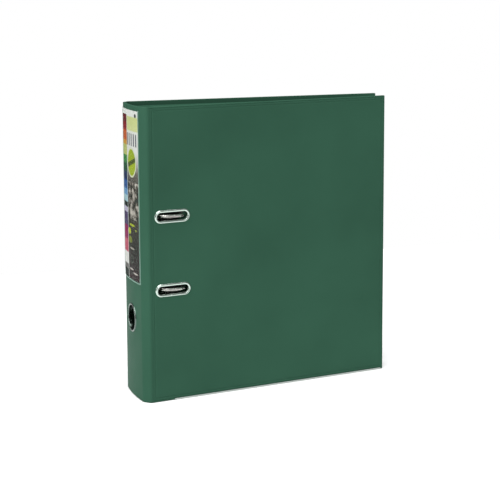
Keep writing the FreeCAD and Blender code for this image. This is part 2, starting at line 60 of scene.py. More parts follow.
# ---- places read from the frame ----------------------------------------------------------------------

def pivot(joint):
    return Vector(JOINTS[joint]["pos_m"])


def middle_of(node):
    low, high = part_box(node)
    return (Vector(low) + Vector(high)) / 2


CREASE_ANGLE = math.radians(45)     # each crease strip runs at this angle to the spine
COVER_LEAN = math.radians(JOINTS["front_cover_fold"]["range_deg"][1]) - CREASE_ANGLE
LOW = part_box("front_cover_foil")[0][2]
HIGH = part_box("front_cover_foil")[1][2]
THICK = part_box("back_cover_foil")[1][1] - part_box("back_cover_lining")[0][1]
COVER_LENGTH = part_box("back_cover_foil")[1][0] - pivot("back_cover_fold").x
STRIP_LENGTH = (pivot("front_cover_fold") - pivot("front_spine_fold")).xy.length
SPINE_LENGTH = (pivot("back_spine_fold") - pivot("front_spine_fold")).xy.length
RING_HEIGHT = middle_of("finger_ring").z
SPINE_BULGE = pivot("back_spine_fold").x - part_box("spine_foil")[0][0]
SPINE_RADIUS = (SPINE_LENGTH ** 2 / 4 + SPINE_BULGE ** 2) / (2 * SPINE_BULGE)


class Flat:
    """A panel's own frame: along it from a crease, inward from its outer face, and up."""

    def __init__(self, origin, angle, inward_sign):
        along = Vector((math.cos(angle), math.sin(angle), 0))
        inward = Vector((-along.y, along.x, 0)) * inward_sign
        self.matrix = Matrix((along, inward, Vector((0, 0, 1)))).transposed().to_4x4()
        self.matrix.translation = Vector((origin.x, origin.y, 0))

    def point(self, along, inward, up):
        return self.matrix @ Vector((along, inward, up))


class Bowed:
    """The spine's own frame: like a flat one, but its outer face is an arc between the two creases."""

    def __init__(self, origin, sign):
        self.origin = origin
        self.sign = sign

    def sag(self, along, radius=SPINE_RADIUS):
        """How far inward of its crown an arc lies."""
        return radius - math.sqrt(radius ** 2 - (along - SPINE_LENGTH / 2) ** 2)

    def point(self, along, inward, up):
        across = inward - SPINE_BULGE + self.sag(along, SPINE_RADIUS - inward)
        return Vector((self.origin.x + across, self.origin.y + self.sign * along, up))


FRONT_COVER = Flat(pivot("front_cover_fold"), COVER_LEAN, 1)
FRONT_STRIP = Flat(pivot("front_spine_fold"), -CREASE_ANGLE, 1)
SPINE = Bowed(pivot("back_spine_fold"), -1)
SPINE_FROM_FRONT = Bowed(pivot("front_spine_fold"), 1)
SPINE_CROWN = Flat(pivot("back_spine_fold") - Vector((SPINE_BULGE, 0, 0)), math.radians(-90), 1)
BACK_STRIP = Flat(pivot("back_spine_fold"), CREASE_ANGLE, -1)
BACK_COVER = Flat(pivot("back_cover_fold"), 0, -1)


# ---- mesh helpers ------------------------------------------------------------------------------------

SHARP_EDGE = math.radians(40)           # edges that turn further than this stay sharp
SHARP_CUT_EDGE = math.radians(35)
SAME_POINT = 1e-7
SMALLEST_CORNER = 0.05 * MM
BOW_COLUMNS = 40                        # steps along the bowed spine
CUTTER_DEPTHS = (-6 * MM, 8 * MM)


def add_to_scene(name, mesh):
    obj = bpy.data.objects.new(name, mesh)
    SCENE.collection.objects.link(obj)
    return obj


def close_up(mesh):
    """Weld equal points and turn every face outward."""
    build = bmesh.new()
    build.from_mesh(mesh)
    bmesh.ops.remove_doubles(build, verts=build.verts, dist=SAME_POINT)
    bmesh.ops.recalc_face_normals(build, faces=build.faces)
    build.to_mesh(mesh)
    build.free()


def piece_from(name, mesh, material):
    """A piece: outward normals, smooth faces with sharp edges kept, one material."""
    close_up(mesh)
    mesh.shade_smooth()
    mesh.set_sharp_from_angle(angle=SHARP_EDGE)
    obj = add_to_scene(name, mesh)
    mesh.materials.clear()
    mesh.materials.append(material)
    return obj


def loft(rings, ring_loop=False, ladder=False):
    """A mesh through rings that each have the same number of points; a ladder closes mirrored outlines."""
    count = len(rings[0])
    points = [tuple(point) for ring in rings for point in ring]
    faces = []
    spans = len(rings) if ring_loop else len(rings) - 1
    for level in range(spans):
        above = (level + 1) % len(rings)
        for index in range(count):
            after = (index + 1) % count
            lower = (level * count + index, level * count + after)
            upper = (above * count + after, above * count + index)
            faces.append(lower + upper)
    for first in (0, (len(rings) - 1) * count):
        if ladder:
            faces += [(first + index, first + index + 1, first + count - 2 - index, first + count - 1 - index)
                      for index in range(count // 2 - 1)]
        elif not ring_loop:
            faces.append(tuple(range(first, first + count)))
    mesh = bpy.data.meshes.new("loft")
    mesh.from_pydata(points, [], faces)
    mesh.update()
    return mesh


def rounded_rectangle(left, right, low, high, radius, segments=5, columns=0):
    """Points round a rectangle whose corners are arcs, with extra points along its low and high sides."""
    radius = max(radius, SMALLEST_CORNER)
    centres = ((right - radius, high - radius, 0), (left + radius, high - radius, 90),
               (left + radius, low + radius, 180), (right - radius, low + radius, 270))
    points = []
    for across, up, start in centres:
        for step in range(segments + 1):
            angle = math.radians(start + 90 * step / segments)
            points.append((across + radius * math.cos(angle), up + radius * math.sin(angle)))
        if start in (0, 180):
            span = (left + radius, right - radius)
            shares = [(column + 1) / (columns + 1) for column in range(columns)]
            for share in shares if start == 180 else shares[::-1]:
                points.append((span[0] + (span[1] - span[0]) * share, high if start == 0 else low))
    return points


def edge_rounding(radius, depth, outward, steps=5):
    """(inset, depth) pairs of a quarter round, from the face to the side or back."""
    pairs = []
    for step in range(steps + 1):
        angle = math.radians(90 * step / steps)
        inset = radius * (1 - math.sin(angle))
        sunk = radius * (1 - math.cos(angle))
        pairs.append((inset, depth + sunk) if outward else (inset, depth - sunk))
    return pairs if outward else pairs[::-1]


def slab(flat, left, right, low, high, profile, corner):
    """A plate with a shaped rim: the profile is (inset, depth) from the outer face to the inner one."""
    rings = []
    columns = BOW_COLUMNS if isinstance(flat, Bowed) else 0
    for inset, depth in profile:
        edges = (left + inset, right - inset, low + inset, high - inset)
        outline = rounded_rectangle(*edges, corner - inset, columns=columns)
        rings.append([flat.point(along, depth, up) for along, up in outline])
    return loft(rings, ladder=True)


def stadium(half_span, radius, segments=24):
    """Points and outward directions round a slot with round ends, or a circle where half_span is 0."""
    points = []
    for side, start in ((1, -90), (-1, 90)):
        for step in range(segments + 1):
            angle = math.radians(start + 180 * step / segments)
            direction = Vector((math.cos(angle), math.sin(angle)))
            points.append((Vector((side * half_span, 0)) + direction * radius, direction))
    return points


def swept_ring(flat, along, up, half_span, profile, bowed=None):
    """A closed section carried round a stadium: (radius, depth, share of the panel's bow that it follows)."""
    rings = []
    for centre, direction in stadium(half_span, 0):
        ring = []
        for radius, depth, share in profile:
            place = centre + direction * radius
            sag = bowed.sag(along + place.x) if bowed else 0.0
            ring.append(flat.point(along + place.x, depth + share * sag, up + place.y))
        rings.append(ring)
    return loft(rings, ring_loop=True)


def cut_with(obj, cutters):
    """Take the cutters' volume out of a piece and remove them."""
    for cutter in cutters:
        modifier = obj.modifiers.new("cut", "BOOLEAN")
        modifier.operation = "DIFFERENCE"
        modifier.solver = "EXACT"
        modifier.object = cutter
    bpy.context.view_layer.update()
    evaluated = obj.evaluated_get(bpy.context.evaluated_depsgraph_get())
    mesh = bpy.data.meshes.new_from_object(evaluated)
    obj.modifiers.clear()
    old = obj.data
    obj.data = mesh
    bpy.data.meshes.remove(old)
    for cutter in cutters:
        bpy.data.objects.remove(cutter)
    mesh.shade_smooth()
    mesh.set_sharp_from_angle(angle=SHARP_CUT_EDGE)


def slot_cutter(flat, along, up, half_span, radius):
    """A plug through a panel, with round ends."""
    outline = [point for point, _ in stadium(half_span, radius)]
    rings = [[flat.point(along + point.x, depth, up + point.y) for point in outline] for depth in CUTTER_DEPTHS]
    mesh = loft(rings)
    close_up(mesh)
    return add_to_scene("cutter", mesh)


def join(objects, name):
    """Several objects' meshes as one piece."""
    build = bmesh.new()
    for obj in objects:
        build.from_mesh(obj.data)
    mesh = bpy.data.meshes.new(name)
    build.to_mesh(mesh)
    build.free()
    material = objects[0].data.materials[0]
    for obj in objects:
        bpy.data.objects.remove(obj)
    return piece_from(name, mesh, material)


def finish_piece(obj, body, slot_name, *nodes):
    """Hang a piece on the body it rides on and hide the CAD nodes it stands for; slot_name is not used."""
    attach(obj, body)
    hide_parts(*nodes)


# ---- materials ---------------------------------------------------------------------------------------

class Shader:
    """A small builder for one node material."""

    def __init__(self, name, **sockets):
        self.material = bpy.data.materials.new(name)
        self.material.use_nodes = True
        self.tree = self.material.node_tree
        self.surface = next(node for node in self.tree.nodes if node.type == "BSDF_PRINCIPLED")
        for socket, value in sockets.items():
            self.surface.inputs[socket.replace("_", " ")].default_value = value
        self.place = self.node("ShaderNodeTexCoord").outputs["Object"]

    def node(self, kind, **settings):
        node = self.tree.nodes.new(kind)
        for key, value in settings.items():
            setattr(node, key, value)
        return node

    def link(self, output, socket):
        self.tree.links.new(output, socket)

    def feed(self, node, values):
        for key, value in values.items():
            if isinstance(value, bpy.types.NodeSocket):
                self.link(value, node.inputs[key])
            else:
                node.inputs[key].default_value = value

    def math(self, operation, first, second=0.0, third=0.0):
        node = self.node("ShaderNodeMath", operation=operation)
        self.feed(node, {0: first, 1: second, 2: third})
        return node.outputs[0]

    def axes(self):
        """The x, y and z of a point."""
        node = self.node("ShaderNodeSeparateXYZ")
        self.link(self.place, node.inputs[0])
        return node.outputs

    def noise(self, scale, detail=3.0, rough=0.5, vector=None):
        node = self.node("ShaderNodeTexNoise")
        self.link(vector or self.place, node.inputs["Vector"])
        self.feed(node, {"Scale": scale, "Detail": detail, "Roughness": rough})
        return node.outputs["Fac"]

    def spread(self, value, low, high, to_low, to_high):
        node = self.node("ShaderNodeMapRange")
        self.feed(node, {0: value, 1: low, 2: high, 3: to_low, 4: to_high})
        return node.outputs[0]

    def mix(self, share, first, second, blend="MIX"):
        node = self.node("ShaderNodeMix", data_type="RGBA", blend_type=blend)
        self.feed(node, {0: share, 6: first, 7: second})
        return node.outputs[2]

    def ramp(self, value, stops, interpolation="LINEAR"):
        node = self.node("ShaderNodeValToRGB")
        node.color_ramp.interpolation = interpolation
        elements = node.color_ramp.elements
        while len(elements) > 1:
            elements.remove(elements[-1])
        elements[0].position, elements[0].color = stops[0][0], rgba(stops[0][1])
        for position, colour in stops[1:]:
            elements.new(position).color = rgba(colour)
        self.link(value, node.inputs[0])
        return node.outputs[0]

    def bump(self, height, distance, strength=1.0):
        node = self.node("ShaderNodeBump")
        self.feed(node, {"Height": height, "Distance": distance, "Strength": strength})
        self.link(node.outputs[0], self.surface.inputs["Normal"])

    def colour(self, output):
        self.link(output, self.surface.inputs["Base Color"])

    def rough(self, output):
        self.link(output, self.surface.inputs["Roughness"])


def rgba(colour):
    return (*colour, 1.0) if len(colour) == 3 else tuple(colour)


def srgb(red, green, blue):
    """A display colour, 0 to 255, as the linear colour that shaders take."""
    def linear(value):
        value /= 255
        return value / 12.92 if value <= 0.04045 else ((value + 0.055) / 1.055) ** 2.4
    return (linear(red), linear(green), linear(blue))


FOIL_GREEN = (0.0304, 0.0896, 0.0570)
UNEVEN = (0.3, 0.7)     # the useful range of a noise


def foil_material(name, grain_depth, roughness, tint=1.0):
    """Coloured polypropylene: a fine embossed grain, slow tone changes and faint handling marks."""
    shader = Shader(name, Specular_IOR_Level=0.015)
    base = tuple(channel * tint for channel in FOIL_GREEN)
    clouds = shader.noise(9, 3)
    lighter = tuple(channel * 1.10 for channel in base)
    darker = tuple(channel * 0.92 for channel in base)
    shader.colour(shader.ramp(clouds, [(0.3, darker), (0.7, lighter)]))
    grain = shader.noise(2600, 2)
    pebble = shader.noise(900, 2)
    wear = shader.noise(45, 4)
    shader.rough(shader.spread(wear, 0.3, 0.75, roughness - 0.04, roughness + 0.05))
    shader.bump(shader.math("MULTIPLY_ADD", grain, 0.5, pebble), grain_depth * MM, 0.55)
    return shader.material


def metal_material(name, colour, roughness, brushed=0.0):
    """Plated steel: bright, with a slightly uneven polish; brushed adds fine lines along Z."""
    shader = Shader(name, Metallic=1.0, Base_Color=rgba(colour))
    if brushed:
        stretch = shader.node("ShaderNodeMapping")
        shader.link(shader.place, stretch.inputs["Vector"])
        stretch.inputs["Scale"].default_value = (1.0, 1.0, 0.02)
        lines = shader.noise(3000, 2, 0.6, stretch.outputs[0])
        shader.bump(lines, brushed * MM, 0.5)
    polish = shader.noise(160, 3)
    shader.rough(shader.spread(polish, *UNEVEN, roughness * 0.75, roughness * 1.3))
    return shader.material


def plastic_material(name, colour, roughness):
    """Moulded plastic with a light spark-eroded texture."""
    shader = Shader(name, Specular_IOR_Level=0.45)
    speckle = shader.noise(1500, 2)
    darker = tuple(channel * 0.85 for channel in colour)
    shader.colour(shader.ramp(speckle, [(0.35, darker), (0.65, colour)]))
    shader.rough(shader.spread(shader.noise(60, 3), *UNEVEN, roughness - 0.05, roughness + 0.05))
    shader.bump(speckle, 0.03 * MM, 0.5)
    return shader.material


def board_material():
    """Grey board: recycled pulp with darker and lighter fibres."""
    shader = Shader("grey_board", Specular_IOR_Level=0.2, Roughness=0.9)
    fibres = shader.noise(700, 5, 0.7)
    shader.colour(shader.ramp(fibres, [(0.35, (0.22, 0.20, 0.17)), (0.65, (0.42, 0.39, 0.34))]))
    shader.bump(fibres, 0.1 * MM, 0.6)
    return shader.material


WELD = 1.2 * MM         # width of the label pocket's weld
# How much the weld strip shows: milky film, with its light green also painting the highlight along the pocket's
# rim.
MILKY_WELD_HIGHLIGHT_ALPHA = 0.55
CLEAR_ALPHA = 0.03


def film_material(low, high):
    """Clear polypropylene film, milky and light green where it is welded down along its sides and its lower
    end: a real weld line, and a painted highlight along the pocket's rim.
    """
    shader = Shader("clear_film", Specular_IOR_Level=0.05, Base_Color=(0.26, 0.42, 0.35, 1.0))
    _, across, up = shader.axes()
    off_centre = shader.math("ABSOLUTE", shader.math("SUBTRACT", across, (low[1] + high[1]) / 2))
    inset = shader.math("SUBTRACT", (high[1] - low[1]) / 2, off_centre)
    inset = shader.math("MINIMUM", inset, shader.math("SUBTRACT", up, low[2]))
    weld_edge = (WELD - 0.1 * MM, WELD + 0.1 * MM)
    alpha = shader.spread(inset, *weld_edge, MILKY_WELD_HIGHLIGHT_ALPHA, CLEAR_ALPHA)
    shader.link(alpha, shader.surface.inputs["Alpha"])
    ripple = shader.noise(70, 2)
    shader.rough(shader.spread(ripple, *UNEVEN, 0.08, 0.16))
    shader.bump(ripple, 0.2 * MM, 0.25)
    return shader.material


# The printed card. Places run from 0 at its upper end to 1 at its lower end, and across from 0 at the
# back to 1 at the front; colours are printed ones, 0 to 255.
SWATCHES = (
    (0.03, (112, 14, 30)), (0.075, (150, 18, 36)), (0.125, (206, 92, 30)), (0.18, (216, 160, 60)),
    (0.21, (196, 204, 120)), (0.27, (60, 140, 66)), (0.32, (26, 84, 50)), (0.37, (30, 44, 96)),
    (0.42, (46, 92, 160)), (0.47, (110, 160, 206)), (0.51, (170, 206, 216)), (0.55, (20, 22, 26)),
    (0.58, (196, 190, 214)), (0.61, (84, 66, 110)), (0.69, (156, 24, 96)), (0.77, (206, 96, 120)),
    (0.85, (240, 240, 236)), (0.92, (120, 116, 114)), (0.95, (18, 16, 18)),
)
PANELS = (
    (0.0, (246, 248, 242)), (0.035, (246, 248, 242)), (0.04, (218, 226, 150)), (0.118, (222, 228, 160)),
    (0.123, (240, 242, 236)), (0.24, (236, 236, 232)), (0.30, (196, 194, 190)), (0.36, (120, 112, 104)),
    (0.42, (84, 76, 70)), (0.55, (62, 52, 46)), (0.66, (66, 54, 48)), (0.80, (52, 44, 42)),
    (1.0, (60, 36, 44)),
)
MARKS = (               # (centre across and down), (half width and half height), colour
    ((0.62, 0.675), (0.16, 0.007), (176, 190, 40)), ((0.46, 0.715), (0.08, 0.020), (190, 204, 50)),
    ((0.50, 0.765), (0.12, 0.020), (120, 128, 40)), ((0.60, 0.815), (0.14, 0.006), (170, 160, 150)),
    ((0.58, 0.880), (0.10, 0.026), (96, 92, 88)), ((0.58, 0.880), (0.07, 0.018), (44, 40, 38)),
    ((0.55, 0.940), (0.12, 0.005), (206, 196, 190)), ((0.78, 0.958), (0.12, 0.005), (206, 196, 190)),
    ((0.88, 0.028), (0.05, 0.012), (70, 74, 70)), ((0.84, 0.700), (0.05, 0.006), (150, 160, 60)),
)
PAPER = (244, 248, 242)
BAR_INK = (96, 92, 104)
BAR_BAND = (0.135, 0.208)
PICTURE_BAND = (0.42, 0.64)
PICTURE = ((0.40, (24, 20, 18)), (0.5, (90, 78, 70)), (0.62, (206, 198, 188)))
BADGE = (0.64, 0.305)
BADGE_RIM, BADGE_REACH = (0.26, 0.088), (0.225, 0.078)
BADGE_BANDS = ((0.0, (164, 184, 30)), (0.352, (84, 92, 20)), (0.382, (170, 190, 34)))
SWATCH_EDGE, PANEL_EDGE = 0.35, 0.37
PRINT_DENSITY = 0.62


def ink(red, green, blue):
    """A printed colour, 0 to 255, on the card's off-white stock."""
    return tuple(PRINT_DENSITY * channel for channel in srgb(red, green, blue))


def inks(stops):
    return [(place, ink(*colour)) for place, colour in stops]


def label_material(low, high):
    """A printed insert: a column of colour swatches beside a plain layout; it has no lettering."""
    shader = Shader("printed_card", Specular_IOR_Level=0.03, Roughness=0.6)
    _, crosswise, upright = shader.axes()
    across = shader.spread(crosswise, high[1], low[1], 0.0, 1.0)
    down = shader.spread(upright, high[2], low[2], 0.0, 1.0)
    swatches = shader.ramp(down, inks(((0.0, PAPER),) + SWATCHES), "CONSTANT")
    panels = shader.ramp(down, inks(PANELS))
    bars = shader.math("FRACT", shader.math("MULTIPLY", across, 8.0))
    in_bars = within(shader, down, *BAR_BAND, shader.math("LESS_THAN", bars, 0.45))
    panels = shader.mix(in_bars, panels, rgba(ink(*BAR_INK)))
    picture = shader.ramp(shader.noise(120, 4, 0.7), inks(PICTURE))
    panels = shader.mix(within(shader, down, *PICTURE_BAND), panels, picture)
    rim = oval(shader, across, down, BADGE, BADGE_RIM)
    panels = shader.mix(rim, panels, rgba(ink(226, 232, 200)))
    slant = shader.math("SUBTRACT", down, shader.math("MULTIPLY", across, -0.10))
    badge = shader.ramp(slant, inks(BADGE_BANDS), "CONSTANT")
    panels = shader.mix(oval(shader, across, down, BADGE, BADGE_REACH), panels, badge)
    for centre, reach, colour in MARKS:
        panels = shader.mix(oval(shader, across, down, centre, reach), panels, rgba(ink(*colour)))
    in_panels = shader.math("GREATER_THAN", across, PANEL_EDGE)
    content = shader.mix(in_panels, rgba(ink(*PAPER)), panels)
    shader.colour(shader.mix(shader.math("LESS_THAN", across, SWATCH_EDGE), content, swatches))
    shader.bump(shader.noise(1800, 2), 0.01 * MM, 0.4)
    return shader.material


def within(shader, value, low, high, also=1.0):
    """1 between two values, and 0 elsewhere."""
    above = shader.math("GREATER_THAN", value, low)
    below = shader.math("LESS_THAN", value, high)
    return shader.math("MULTIPLY", shader.math("MULTIPLY", above, below), also)


def oval(shader, across, down, centre, reach):
    """1 inside an oval of the label, 0 outside."""
    side = shader.math("DIVIDE", shader.math("SUBTRACT", across, centre[0]), reach[0])
    rise = shader.math("DIVIDE", shader.math("SUBTRACT", down, centre[1]), reach[1])
    distance = shader.math("ADD", shader.math("MULTIPLY", side, side), shader.math("MULTIPLY", rise, rise))
    return shader.math("LESS_THAN", distance, 1.0)


FOIL = foil_material("cover_foil", 0.10, 0.46)
LINING = foil_material("lining_foil", 0.04, 0.40, 1.3)
# The eyelets' nickel is tinted green: painted reflection of the green foil around them.
CHROME = metal_material("nickel_with_painted_green_reflection", (0.53, 0.63, 0.57), 0.22)
# Polished wire whose pale, warm base colour also paints light onto the shaded arch wires; the paper posts share
# it.
WIRE = metal_material("polished_wire_with_painted_light", (0.80, 0.77, 0.74), 0.20)
# The finger ring's dark, green-tinted nickel is painted reflection of the surrounding green foil.
RING = metal_material("dark_nickel_with_painted_foil_reflection", (0.12, 0.16, 0.14), 0.24)
RAIL = metal_material("rail_nickel", (0.40, 0.44, 0.42), 0.24)
NICKEL = metal_material("satin_nickel", (0.62, 0.61, 0.58), 0.26)
SHEET_STEEL = metal_material("pressed_steel", (0.42, 0.42, 0.41), 0.30, 0.02)
BLACK = plastic_material("black_plastic", (0.018, 0.018, 0.020), 0.42)
NYLON = plastic_material("white_nylon", (0.72, 0.71, 0.67), 0.38)
BOARD = board_material()
FILM = film_material(*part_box("label_pocket"))
CARD = label_material(*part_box("label_card"))


# ---- covers, spine and creases -----------------------------------------------------------------------

EDGE = 0.95 * MM          # rounding of a panel's rim
CREASE_GAP = 1.4 * MM     # board to crease line
SEAM = 2.9 * MM           # rim to the weld that closes the foil
CORNER = 1.2 * MM         # rounding of a panel's corners
SKIN = 0.05 * MM          # the foil's own thickness at the weld
LINING_SHEET = 0.14 * MM
LINING_INSET = 5.0 * MM
LINING_CORNER = 2 * MM
WELD_GROOVES = ((3, 0.05), (1.8, 0.05), (1.3, 0.36), (0.7, 0.06), (0, 0.0), (-0.7, 0.06), (-1.3, 0.42),
                (-1.8, 0.06))                   # millimetres from the weld's middle, and depth


def panel_profile(seamed):
    """The rim of a foil-wrapped board, with or without the weld line that runs beside the free edges."""
    back = THICK - LINING_SHEET
    profile = []
    if seamed:
        profile += [(SEAM + offset * MM, depth * MM) for offset, depth in WELD_GROOVES]
    profile += edge_rounding(EDGE, SKIN if seamed else 0.0, True)
    profile += edge_rounding(EDGE * 0.8, back, False)
    if seamed:
        profile += [(SEAM + WELD_GROOVES[0][0] * MM, back)]
    return profile


def build_panel(name, flat, length, free_edge, body, nodes, cutters=()):
    """A foil-wrapped board between two creases, or between a crease and a free edge."""
    right = length if free_edge else length - CREASE_GAP
    mesh = slab(flat, CREASE_GAP, right, LOW, HIGH, panel_profile(free_edge), CORNER)
    obj = piece_from(name, mesh, FOIL)
    if cutters:
        cut_with(obj, cutters)
    finish_piece(obj, body, "outer_foil", *nodes)


def build_lining(name, flat, left, right, body, node, cutters=()):
    """The thin inner sheet, laid over the turned-in foil and set back from the free edges."""
    near = THICK - LINING_SHEET - 0.02 * MM
    profile = [(0.0, near), (0.0, THICK - 0.05 * MM), (0.06 * MM, THICK)]
    mesh = slab(flat, left, right, LOW + LINING_INSET, HIGH - LINING_INSET, profile, LINING_CORNER)
    obj = piece_from(name, mesh, LINING)
    if cutters:
        cut_with(obj, cutters)
    finish_piece(obj, body, "lining_foil", node)


FILM_REACH = 3.1 * MM             # how far a crease film runs onto each panel
FILM_BEND = 1.1 * MM              # half the width that bends
CURVE_STEPS = 8
OUTER_FACE, OUTER_DIP = -0.012 * MM, 0.10 * MM
INNER_FACE, INNER_DIP = THICK + 0.01 * MM, 0.25 * MM
FILM_ENDS = ((0.0, 0.72), (0.12, 0.86), (0.35, 0.96), (0.8, 1.0))   # millimetres in, share of the thickness


def crease_film(name, first, first_end, second):
    """The foil hinge where the first panel ends and the second starts: a closed strip, thin at its bend."""

    def on_panel(offset, depth):
        """A point on the first panel (negative offset) or the second (positive)."""
        if offset < 0:
            return first.point(first_end + offset, depth, 0)
        return second.point(offset, depth, 0)

    def curve(depth, sink):
        """One face of the strip: straight, round the crease, straight."""
        bend = FILM_BEND * 1.6
        before, after = on_panel(-bend, depth), on_panel(bend, depth)
        corner = (on_panel(-1e-9, depth) + on_panel(1e-9, depth)) / 2
        middle = on_panel(0, 0.5 * THICK)
        points = [on_panel(-FILM_REACH, depth)]
        for step in range(CURVE_STEPS + 1):
            share = step / CURVE_STEPS
            point = before * (1 - share) ** 2 + corner * 2 * share * (1 - share) + after * share ** 2
            dip = sink * math.sin(math.pi * share) ** 2
            points.append(point + (middle - point).normalized() * dip)
        points.append(on_panel(FILM_REACH, depth))
        return points

    outline = curve(OUTER_FACE, OUTER_DIP) + curve(INNER_FACE, INNER_DIP)[::-1]
    levels = [(LOW + rise * MM, share) for rise, share in FILM_ENDS]
    levels += [(HIGH - rise * MM, share) for rise, share in FILM_ENDS[::-1]]
    rings = []
    for height, share in levels:
        ring = []
        for point, twin in zip(outline, outline[::-1]):
            middle = (point + twin) / 2
            shaped = middle + (point - middle) * share
            ring.append((shaped.x, shaped.y, height))
        rings.append(ring)
    obj = piece_from(name, loft(rings), FOIL)
    on_panel(-FILM_BEND, 0.0)
    on_panel(FILM_BEND, 0.0)
    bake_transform(obj)


HOLE_SPACING = 80 * MM            # between filing holes
EYELET_PLACE = middle_of("oblong_eyelets")
EYELETS = [EYELET_PLACE.z + side * HOLE_SPACING / 2 for side in (-1, 1)]
EYELET_ALONG = (EYELET_PLACE - pivot("front_cover_fold")).xy.dot(FRONT_COVER.matrix.col[0].xy)
SLOT_HALF_SPAN = 13.7 * MM
EYELET_BARREL = 5.05 * MM
RING_BARREL = 14.65 * MM
HOLE_PLAY = 0.1 * MM              # between a barrel and the board


def eyelet_cutters():
    radius = EYELET_BARREL + HOLE_PLAY
    return [slot_cutter(FRONT_COVER, EYELET_ALONG, height, SLOT_HALF_SPAN, radius) for height in EYELETS]


def ring_cutter():
    return slot_cutter(SPINE_CROWN, SPINE_LENGTH / 2, RING_HEIGHT, 0.0, RING_BARREL + HOLE_PLAY)


def covers():
    build_panel("front_cover_panel", FRONT_COVER, COVER_LENGTH, True, "front_cover",
                ("front_cover_foil", "front_cover_board"), eyelet_cutters())
    build_lining("front_cover_inner_sheet", FRONT_COVER, CREASE_GAP, COVER_LENGTH - LINING_INSET,
                 "front_cover", "front_cover_lining", eyelet_cutters())
    build_panel("back_cover_panel", BACK_COVER, COVER_LENGTH, True, "back_cover",
                ("back_cover_foil", "back_cover_board"))
    build_lining("back_cover_inner_sheet", BACK_COVER, CREASE_GAP, COVER_LENGTH - LINING_INSET,
                 "back_cover", "back_cover_lining")
    for side, flat in (("front", FRONT_STRIP), ("back", BACK_STRIP)):
        build_panel(f"{side}_crease_strip", flat, STRIP_LENGTH, False, f"{side}_crease",
                    [f"{side}_crease_{layer}" for layer in ("foil", "board", "lining")])
    build_panel("spine_panel", SPINE, SPINE_LENGTH, False, "spine", ("spine_foil", "spine_board"),
                [ring_cutter()])
    build_lining("spine_inner_sheet", SPINE, CREASE_GAP, SPINE_LENGTH - CREASE_GAP, "spine", "spine_lining",
                 [ring_cutter()])
    for name, first, first_end, second, first_body, second_body in (
            ("front_spine_crease", SPINE, SPINE_LENGTH, FRONT_STRIP, "spine", "front_crease"),
            ("front_cover_crease", FRONT_STRIP, STRIP_LENGTH, FRONT_COVER, "front_crease", "front_cover"),
            ("back_cover_crease", BACK_STRIP, STRIP_LENGTH, BACK_COVER, "back_crease", "back_cover"),
            ("back_spine_crease", SPINE_FROM_FRONT, SPINE_LENGTH, BACK_STRIP, "spine", "back_crease")):
        crease_film(name, first, first_end, second)


# ---- metal trim --------------------------------------------------------------------------------------

ROLL_STEPS = 7
LIP = 0.3 * MM


def rolled_profile(bore, barrel, flange, rise, seat, tail_lip, tail=0.4 * MM, crest=0.5, bevel=0.0):
    """The section of an eyelet: a rolled flange outside, a barrel, and a tail turned over inside.

    The crest is where the flange is highest, from bore to rim; a bevel straightens its outer slope.
    """
    points = []
    ridge = bore + crest * (flange - bore)
    for step in range(ROLL_STEPS + 1):
        angle = math.pi / 2 * step / ROLL_STEPS
        points.append((ridge - (ridge - bore) * math.cos(angle), -rise * math.sin(angle) ** 0.8, 0.0))
    for step in range(1, ROLL_STEPS + 1):
        share = step / ROLL_STEPS
        height = (1 - bevel) * (1 - share ** 2) ** 0.5 + bevel * (1 - share)
        points.append((ridge + (flange - ridge) * share, -rise * height, 0.0))
    points[-1] = (flange, 0.0, 1.0)
    points += [(barrel, 0.0, 1.0), (barrel, seat, 1.0), (tail_lip, seat, 1.0)]
    points += [(tail_lip, seat + tail * 0.6, 0.5), (tail_lip - LIP, seat + tail, 0.0)]
    points += [(bore + LIP, seat + tail, 0.0)]
    return points + [(bore, seat + tail * 0.4, 0.0)]


def rings_and_eyelets():
    profile = rolled_profile(bore=4.5 * MM, barrel=EYELET_BARREL, flange=7.05 * MM, rise=0.78 * MM, seat=THICK,
                             tail_lip=6.65 * MM, crest=0.62, bevel=0.8)
    meshes = [swept_ring(FRONT_COVER, EYELET_ALONG, height, SLOT_HALF_SPAN, profile) for height in EYELETS]
    eyelets = [piece_from("eyelet_part", mesh, CHROME) for mesh in meshes]
    joined = join(eyelets, "oblong_eyelet_pair")
    finish_piece(joined, "front_cover", "bright_steel", "oblong_eyelets", "eyelet_clinch_rings")
    ring = rolled_profile(bore=13.8 * MM, barrel=RING_BARREL, flange=15.95 * MM, rise=0.88 * MM,
                          seat=THICK + 0.01 * MM, tail_lip=15.9 * MM, tail=1.0 * MM)
    mesh = swept_ring(SPINE_CROWN, SPINE_LENGTH / 2, RING_HEIGHT, 0.0, ring, SPINE)
    finish_piece(piece_from("finger_ring_turned", mesh, RING), "spine", "bright_steel",
                 "finger_ring", "finger_ring_collar")


RAIL_SHEET, RAIL_LEG, RAIL_BEND = 0.4 * MM, 1.9 * MM, 0.7 * MM
RAIL_START, RAIL_STOP = 28 * MM, COVER_LENGTH - 3 * MM
RAIL_NIP, RAIL_END = 0.25 * MM, 0.3 * MM        # how far the legs are lower at the rail's ends, and over what


